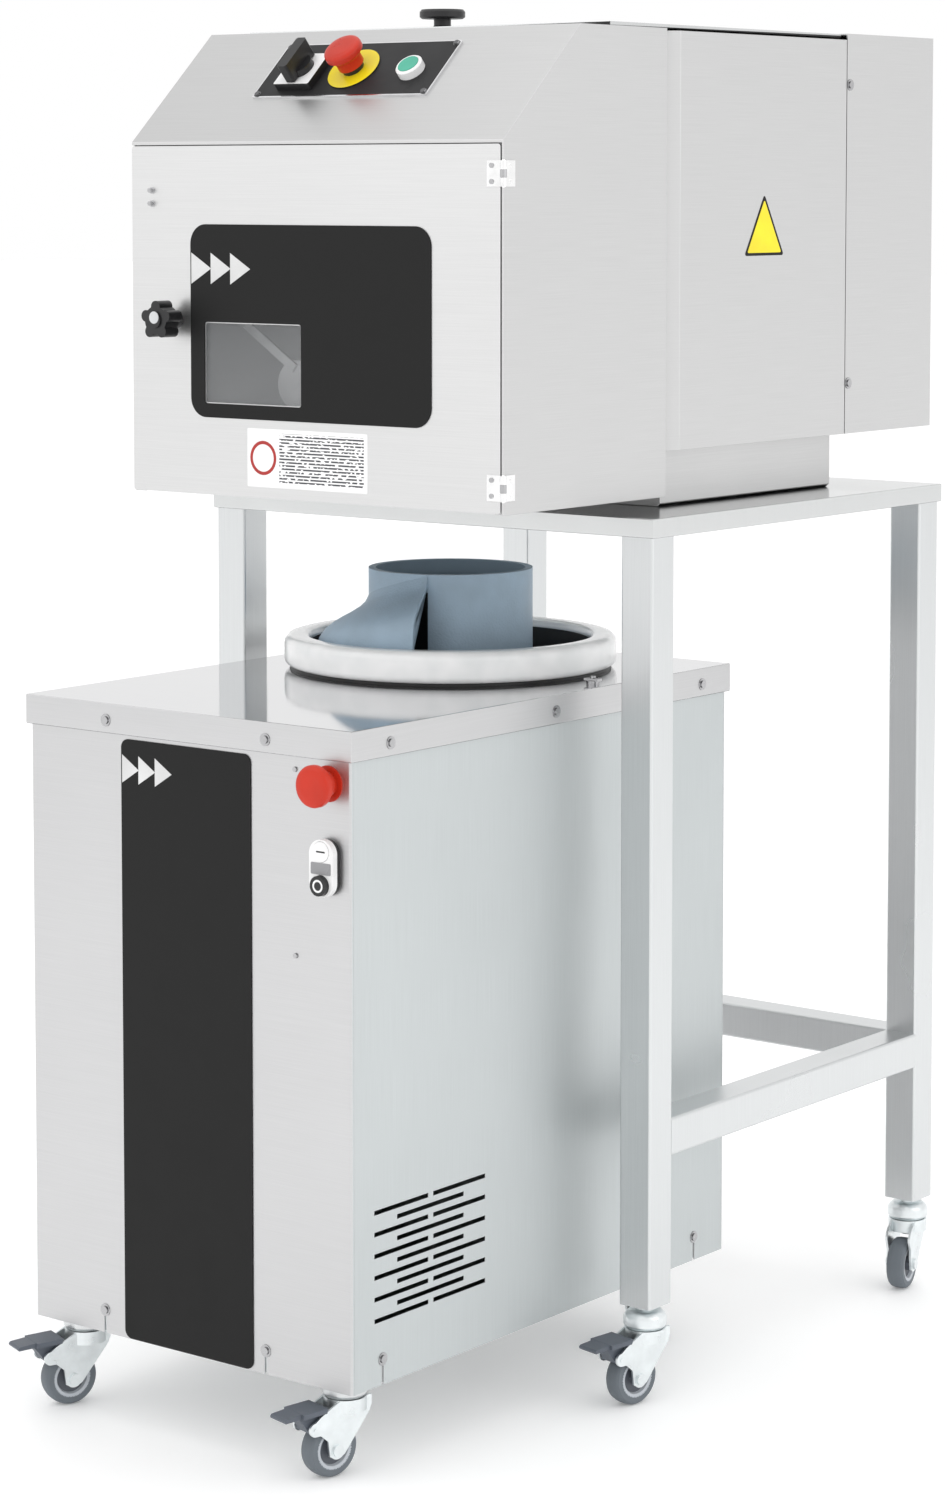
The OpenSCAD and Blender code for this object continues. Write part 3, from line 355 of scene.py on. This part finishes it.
def on_inner_wall(centre, normal):
    """True on the inner wall of the feed cylinder."""
    out = Vector((centre.x - bowl_middle.x, centre.y - bowl_middle.y, 0))
    return out.length < INNER_RADIUS and out.dot(normal) < 0


dress("rounding_spiral", "spiral_grey", "spiral_inside_shade")
paint_faces("rounding_spiral", 1, on_inner_wall)

# Casters: tyre, light ring and dark core, by distance from the wheel's middle
RING_RADIUS = 22.4 * MM
CORE_RADIUS = 16.5 * MM
for unit in ("stand", "rounder"):
    for side in ("left", "right"):
        dress(f"{unit}_pedal_{side}", "pedal")
        for end in ("front", "rear"):
            dress(f"{unit}_fork_{end}_{side}", "zinc")
            wheel = f"{unit}_wheel_{end}_{side}"
            dress(wheel, "tyre", "wheel_ring", "wheel_core")
            lo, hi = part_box(wheel)
            middle = (lo + hi) / 2
            paint_faces(wheel, 1, lambda centre, normal: (centre - middle).length < RING_RADIUS)
            paint_faces(wheel, 2, lambda centre, normal: (centre - middle).length < CORE_RADIUS)


# --- Materials on the divider's controls ---

# The slanted panel rises this much over this run
SLANT_RISE = 118 * MM
SLANT_RUN = 128 * MM
slope = math.atan2(SLANT_RISE, SLANT_RUN)
uphill = Vector((0, math.cos(slope), math.sin(slope)))
outward = ACROSS.cross(uphill)

# Lower left corner of the control plate on the housing
PLATE_THICK = 2 * MM
plate_lo, plate_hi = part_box("control_plate")
plate_corner = Vector((plate_lo.x, plate_lo.y + PLATE_THICK * math.sin(slope), plate_lo.z))


def plate_height(point):
    """How far a point is out of the control plate's face."""
    return (point - plate_corner).dot(outward) - PLATE_THICK


# Selector's black base with a white plate on it, yellow disc with a black collar, white bezel
BEZEL_WIDTH = 31 * MM
SELECTOR_WIDTH = 49 * MM
SELECTOR_HEIGHT = 8.9 * MM
DISC_RADIUS = 31 * MM
DISC_HEIGHT = 1.5 * MM
FACE_TOLERANCE = 0.1 * MM
base_lo, base_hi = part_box("control_bases")
stop_lo, stop_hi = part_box("estop_head")
stop_x = (stop_lo.x + stop_hi.x) / 2
dress("control_bases", "black_plastic", "white_plastic", "yellow")
paint_faces("control_bases", 1, lambda centre, normal: centre.x > base_hi.x - BEZEL_WIDTH
            or (centre.x < base_lo.x + SELECTOR_WIDTH and plate_height(centre) > SELECTOR_HEIGHT))
paint_faces("control_bases", 2, lambda centre, normal: abs(centre.x - stop_x) < DISC_RADIUS
            and abs(plate_height(centre) - DISC_HEIGHT) < FACE_TOLERANCE)


# --- Materials on the rounder's controls ---

# The push button station is white with black edges at the back; the collar above it is red
LENS_LIFT = 0.5 * MM
STATION_FRONT = 6.6 * MM
COLLAR_ABOVE = 20 * MM
run_lo, run_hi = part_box("run_button")
halt_lo, halt_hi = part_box("stop_button")
station_face = run_lo.y + LENS_LIFT
dress("rounder_control_bases", "white_plastic", "black_plastic", "red_gloss")
paint_faces("rounder_control_bases", 1, lambda centre, normal: centre.y > station_face + STATION_FRONT
            and abs(normal.y) < SQUARE)
paint_faces("rounder_control_bases", 2, lambda centre, normal: centre.z > run_hi.z + COLLAR_ABOVE)


# --- Helpers for new pieces ---

ROUND = math.radians(40)


def piece(name, mesh_maker, material, body, sharp=None):
    """A new object from a bmesh function, riding on a body; smooth but for edges past the sharp angle."""
    mesh = bpy.data.meshes.new(name)
    bm = bmesh.new()
    mesh_maker(bm)
    bmesh.ops.recalc_face_normals(bm, faces=bm.faces)
    bm.to_mesh(mesh)
    bm.free()
    mesh.materials.append(MATERIALS[material])
    obj = bpy.data.objects.new(name, mesh)
    bpy.context.scene.collection.objects.link(obj)
    if sharp:
        mesh.shade_smooth()
        mesh.set_sharp_from_angle(angle=sharp)
    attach(obj, body)


def bridge(bm, one, two):
    """Faces between two closed loops of as many points."""
    count = len(one)
    for i in range(count):
        j = (i + 1) % count
        bm.faces.new((one[i], one[j], two[j], two[i]))


def loop_at(bm, outline, z, place):
    """A closed loop of new points at a height in a frame (a 4 x 4 matrix)."""
    return [bm.verts.new(place @ Vector((x, y, z))) for x, y in outline]


def circle(radius, steps=40):
    """Outline of a circle round the origin."""
    turns = [2 * math.pi * i / steps for i in range(steps)]
    return [(radius * math.cos(turn), radius * math.sin(turn)) for turn in turns]


def rounded_rectangle(width, height, radius, steps=6):
    """Outline of a rectangle with round corners, its lower left corner at the origin."""
    points = []
    corners = ((width - radius, radius, -90), (width - radius, height - radius, 0),
               (radius, height - radius, 90), (radius, radius, 180))
    for x, y, start in corners:
        for i in range(steps + 1):
            angle = math.radians(start + 90 * i / steps)
            points.append((x + radius * math.cos(angle), y + radius * math.sin(angle)))
    return points


def rounded_polygon(corners, radius, steps=4):
    """A polygon with its corners cut to small arcs."""
    points = []
    count = len(corners)
    for i in range(count):
        here = Vector(corners[i])
        before = (Vector(corners[i - 1]) - here).normalized()
        after = (Vector(corners[(i + 1) % count]) - here).normalized()
        for k in range(steps + 1):
            t = k / steps
            points.append(tuple(here + before * radius * (1 - t) ** 2 + after * radius * t ** 2))
    return points


def inset(corners, share):
    """The corners, drawn in towards their middle to a share of the size."""
    middle = sum((Vector(c) for c in corners), Vector((0, 0))) / len(corners)
    return [tuple(middle + (Vector(c) - middle) * share) for c in corners]


def prism(outline, low, high, place, bevel=0.0):
    """A function that makes a flat outline's solid between two heights in a frame."""
    def make(bm):
        bottom = loop_at(bm, outline, low, place)
        top = loop_at(bm, outline, high, place)
        bm.faces.new(top)
        bm.faces.new(list(reversed(bottom)))
        bridge(bm, bottom, top)
        if bevel:
            rim = [edge for edge in bm.edges if all(vert in top for vert in edge.verts)]
            bmesh.ops.bevel(bm, geom=rim, offset=bevel, segments=2, affect="EDGES", profile=0.5)
    return make


def hoop(section, place):
    """A function that makes a closed band from (outline, height) pairs round its section."""
    def make(bm):
        loops = [loop_at(bm, outline, z, place) for outline, z in section]
        for one, two in zip(loops, loops[1:] + loops[:1]):
            bridge(bm, one, two)
    return make


def flat_ring(outer, inner, height, place):
    """A function that makes a flat round ring."""
    wide, narrow = circle(outer), circle(inner)
    return hoop(((wide, 0), (wide, height), (narrow, height), (narrow, 0)), place)


def frame_at(origin, across, up):
    """The matrix of a frame with its own X across, Y up and Z towards the viewer."""
    out = across.cross(up)
    matrix = Matrix((across, up, out)).transposed().to_4x4()
    matrix.translation = origin
    return matrix


def front_frame(x, y, z):
    """A frame on a surface that faces -Y."""
    return frame_at(Vector((x, y, z)), ACROSS, UP)


def right_frame(x, y, z):
    """A frame on a surface that faces +X."""
    return frame_at(Vector((x, y, z)), BACKWARD, UP)


def moved(place, x, y, z=0.0):
    """The frame, moved along its own axes."""
    return place @ Matrix.Translation((x, y, z))


# --- Label on the door, without text ---

PRINT = 0.15 * MM
LABEL_W = 163.5 * MM
LABEL_H = 61.5 * MM
LABEL_LEFT = -88 * MM
LABEL_LIFT = 11.5 * MM
LABEL_CORNER = 1.5 * MM
TEXT_X, TEXT_Y = LABEL_W * 0.27, LABEL_H * 0.07
TEXT_W, TEXT_H = LABEL_W * 0.7, LABEL_H * 0.86
TEXT_CORNER = 1 * MM
SIGN_X = 22 * MM
SIGN_OUTER = 18 * MM
SIGN_INNER = 14.5 * MM

label_place = front_frame(LABEL_LEFT, door_lo.y, door_lo.z + LABEL_LIFT)
sheet_outline = rounded_rectangle(LABEL_W, LABEL_H, LABEL_CORNER)
text_outline = rounded_rectangle(TEXT_W, TEXT_H, TEXT_CORNER)
text_place = moved(label_place, TEXT_X, TEXT_Y)
sign_place = moved(label_place, SIGN_X, LABEL_H / 2, PRINT)
piece("label", prism(sheet_outline, 0, PRINT, label_place), "label_white", "door")
piece("label_lines", prism(text_outline, PRINT, PRINT * 1.5, text_place), "label_paper", "door")
piece("label_ring", flat_ring(SIGN_OUTER, SIGN_INNER, PRINT, sign_place), "label_red", "door")


# --- Light cap in the middle of the clamp knob ---

HUB_ABOVE = 21 * MM
CAP_RADIUS = 6.5 * MM
CAP_HEIGHT = 0.6 * MM
CAP_BEVEL = 0.2 * MM

knob_lo, knob_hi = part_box("door_knob")
cap_place = front_frame((knob_lo.x + knob_hi.x) / 2, knob_lo.y, knob_lo.z + HUB_ABOVE)
cap = prism(circle(CAP_RADIUS), 0, CAP_HEIGHT, cap_place, CAP_BEVEL)
piece("knob_cap", cap, "grey_light", "clamp_knob", ROUND)


# --- Yellow triangle on the divider's right side ---

TRIANGLE = [(0, 0), (77.3 * MM, 0), (38.6 * MM, 66.9 * MM)]
TRIANGLE_BACK = 132.5 * MM
TRIANGLE_LIFT = 203.5 * MM
FACE_SHARE = 0.86
BORDER_CORNER = 5 * MM
FACE_CORNER = 3 * MM

covers_lo, covers_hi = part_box("body_covers")
triangle_place = right_frame(covers_hi.x, covers_lo.y + TRIANGLE_BACK, covers_lo.z + TRIANGLE_LIFT)
border_outline = rounded_polygon(TRIANGLE, BORDER_CORNER)
face_outline = rounded_polygon(inset(TRIANGLE, FACE_SHARE), FACE_CORNER)
piece("triangle_border", prism(border_outline, 0, PRINT, triangle_place), "black_sheet", "stand")
piece("triangle_face", prism(face_outline, PRINT, PRINT * 2, triangle_place), "yellow", "stand")


# --- Rows of arrows on the black panels ---

ARROWS = 3
ARROW_STEP = 0.98
ARROW_MARGIN = 1.5 * MM


def arrow_row(name, body, panel, drop, width, height):
    """Plain triangles in a row that point to the right, their feet a drop below the panel's top."""
    lo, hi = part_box(panel)
    outline = [(0, 0), (width, height / 2), (0, height)]
    for i in range(ARROWS):
        place = front_frame(lo.x + ARROW_MARGIN + i * width * ARROW_STEP, lo.y, hi.z - drop)
        piece(f"{name}_{i}", prism(outline, 0, PRINT, place), "mark_white", body)


arrow_row("door_mark", "door", "door_panel", drop=63 * MM, width=28 * MM, height=33 * MM)
arrow_row("rounder_mark", "rounder", "rounder_panel", drop=45 * MM, width=23 * MM, height=29 * MM)


# --- Marks and lens of the rounder's push buttons ---

DASH_W, DASH_H = 11 * MM, 1.6 * MM
DASH_CORNER = 0.5 * MM
LENS_W, LENS_H = 25 * MM, 11.5 * MM
LENS_CORNER = 1 * MM
LENS_BEVEL = 0.15 * MM
STOP_OUTER = 6.4 * MM
STOP_INNER = 4.4 * MM

push_x = (run_lo.x + run_hi.x) / 2
run_z = (run_lo.z + run_hi.z) / 2
halt_z = (halt_lo.z + halt_hi.z) / 2
dash_place = front_frame(push_x - DASH_W / 2, run_lo.y, run_z - DASH_H / 2)
lens_place = front_frame(push_x - LENS_W / 2, station_face, (run_z + halt_z) / 2 - LENS_H / 2)
stop_place = front_frame(push_x, halt_lo.y, halt_z)
dash = prism(rounded_rectangle(DASH_W, DASH_H, DASH_CORNER), 0, PRINT, dash_place)
lens = prism(rounded_rectangle(LENS_W, LENS_H, LENS_CORNER), 0, LENS_LIFT, lens_place, LENS_BEVEL)
piece("run_dash", dash, "black_plastic", "run")
piece("push_lens", lens, "lens_grey", "rounder")
piece("stop_ring", flat_ring(STOP_OUTER, STOP_INNER, PRINT, stop_place), "white_plastic", "stop")


# --- Screws round the white ring ---

RING_SCREWS = 8
FIRST_SCREW = 0.62
SCREW_RADIUS = 2.2 * MM
SCREW_HEIGHT = 1.1 * MM
SCREW_BEVEL = 0.3 * MM
SCREW_STEPS = 20
SCREW_SUNK = 1.2 * MM
SCREW_LIFT = 15 * MM

ring_radius = (ring_hi.x - ring_lo.x) / 2
ring_middle = Vector((bowl_middle.x, bowl_middle.y, ring_lo.z + SCREW_LIFT))
for i in range(RING_SCREWS):
    turn = 2 * math.pi * (i + FIRST_SCREW) / RING_SCREWS
    away = Vector((math.cos(turn), math.sin(turn), 0))
    place = frame_at(ring_middle + away * (ring_radius - SCREW_SUNK), UP.cross(away), UP)
    head = prism(circle(SCREW_RADIUS, SCREW_STEPS), 0, SCREW_HEIGHT, place, SCREW_BEVEL)
    piece(f"ring_screw_{i}", head, "screw_steel", "rounder", ROUND)


# --- Bright edge round the control plate ---

PLATE_DEPTH = 83.5 * MM
EDGE_CORNER = 2.5 * MM
EDGE_OUT = 0.4 * MM
EDGE_IN = -1.2 * MM
EDGE_TOP = PLATE_THICK + 0.2 * MM
EDGE_FOOT = PLATE_THICK - 0.4 * MM


def edge_outline(grow):
    """The plate's outline, grown on all sides."""
    width = plate_hi.x - plate_lo.x + 2 * grow
    outline = rounded_rectangle(width, PLATE_DEPTH + 2 * grow, EDGE_CORNER)
    return [(x - grow, y - grow) for x, y in outline]


edge_out, edge_in = edge_outline(EDGE_OUT), edge_outline(EDGE_IN)
edge_section = ((edge_out, 0), (edge_out, EDGE_TOP), (edge_in, EDGE_TOP), (edge_in, EDGE_FOOT))
piece("plate_edge", hoop(edge_section, frame_at(plate_corner, ACROSS, uphill)), "polished", "stand")


# --- Bevelled edges on the CAD nodes ---

SHARP = math.radians(35)
WELD_DISTANCE = 0.01 * MM


def soften(node, width):
    """Small round edges, so that every edge catches the light; none for a width of 0."""
    obj = nodes[node]
    weld = obj.modifiers.new("weld", "WELD")
    weld.merge_threshold = WELD_DISTANCE
    if width:
        bevel = obj.modifiers.new("bevel", "BEVEL")
        bevel.width = width
        bevel.segments = 2
        bevel.limit_method = "ANGLE"
        bevel.angle_limit = SHARP
        bevel.use_clamp_overlap = True
        bevel.harden_normals = False
    split = obj.modifiers.new("split", "EDGE_SPLIT")
    split.split_angle = SHARP
    obj.data.shade_smooth()
    even = obj.modifiers.new("even", "WEIGHTED_NORMAL")
    even.weight = 100
    even.keep_sharp = True


# Bevel widths in millimetres
USUAL_BEVEL = 0.4
BEVELS = {
    "stand_frame": 0.6, "stand_top": 1.0, "divider_base": 1.0, "front_housing": 1.0, "body_covers": 0.5,
    "rear_housing": 0.0, "door": 0.5, "door_panel": 0.3, "hopper_lid": 0.5, "rounder_body": 0.5,
    "rounder_lid": 1.2, "rounder_panel": 0.3, "control_plate": 0.3, "selector_knob": 1.2, "door_knob": 1.5,
}
for node in nodes:
    soften(node, BEVELS.get(node, USUAL_BEVEL) * MM)


# --- Camera ---

SENSOR = 36.0
LENS = 89.256
SHIFT_Y = -0.19
AZIMUTH = math.radians(37.962)
PITCH = math.radians(4.375)
CAMERA_AT = (2.49706, -3.2223, 1.28104)

camera_data = bpy.data.cameras.new("camera")
camera_data.sensor_width = SENSOR
camera_data.sensor_fit = "AUTO"
camera_data.lens = LENS
camera_data.shift_y = SHIFT_Y
camera = bpy.data.objects.new("camera", camera_data)
bpy.context.scene.collection.objects.link(camera)
level = Vector((-math.sin(AZIMUTH), math.cos(AZIMUTH), 0))
view = level * math.cos(PITCH) - UP * math.sin(PITCH)
camera.rotation_euler = view.to_track_quat("-Z", "Y").to_euler()
camera.location = CAMERA_AT
bpy.context.scene.camera = camera


# --- Floor ---

FLOOR_SIDE = 40
FLOOR_GLOW = 0.14

floor_mesh = bpy.data.meshes.new("floor")
floor_corners = [(x * FLOOR_SIDE, y * FLOOR_SIDE, 0) for x, y in ((-1, -1), (1, -1), (1, 1), (-1, 1))]
floor_mesh.from_pydata(floor_corners, [], [(0, 1, 2, 3)])
floor = bpy.data.objects.new("floor", floor_mesh)
bpy.context.scene.collection.objects.link(floor)
floor_paint = Paint("floor", Roughness=0.6, Emission_Color=(1, 1, 1, 1), Emission_Strength=FLOOR_GLOW)
floor_paint.feed(floor_paint.tint(floor_paint.noise(scale=3.0), grey(0.95), grey(0.97)), "Base Color")
floor_mesh.materials.append(floor_paint.material)


# --- Lights ---

def area_light(name, location, target, side, power):
    """A square soft light that faces its target."""
    data = bpy.data.lights.new(name, "AREA")
    data.shape = "SQUARE"
    data.size = side
    data.energy = power
    obj = bpy.data.objects.new(name, data)
    obj.location = location
    obj.rotation_euler = (Vector(target) - Vector(location)).to_track_quat("-Z", "Y").to_euler()
    bpy.context.scene.collection.objects.link(obj)


area_light("key", location=(-1.8, -3.6, 3.4), target=(0, 0, 0.8), side=4.0, power=26)
area_light("side", location=(4.2, 0.2, 2.4), target=(0, 0, 0.7), side=3.6, power=22)
area_light("top", location=(0.0, 0.2, 4.6), target=(0, 0, 0), side=4.0, power=24)

world = bpy.data.worlds.new("studio")
world.use_nodes = True
background = world.node_tree.nodes["Background"]
background.inputs["Color"].default_value = (1, 1, 1, 1)
background.inputs["Strength"].default_value = 1.0
bpy.context.scene.world = world
bpy.context.scene.view_settings.view_transform = "Standard"
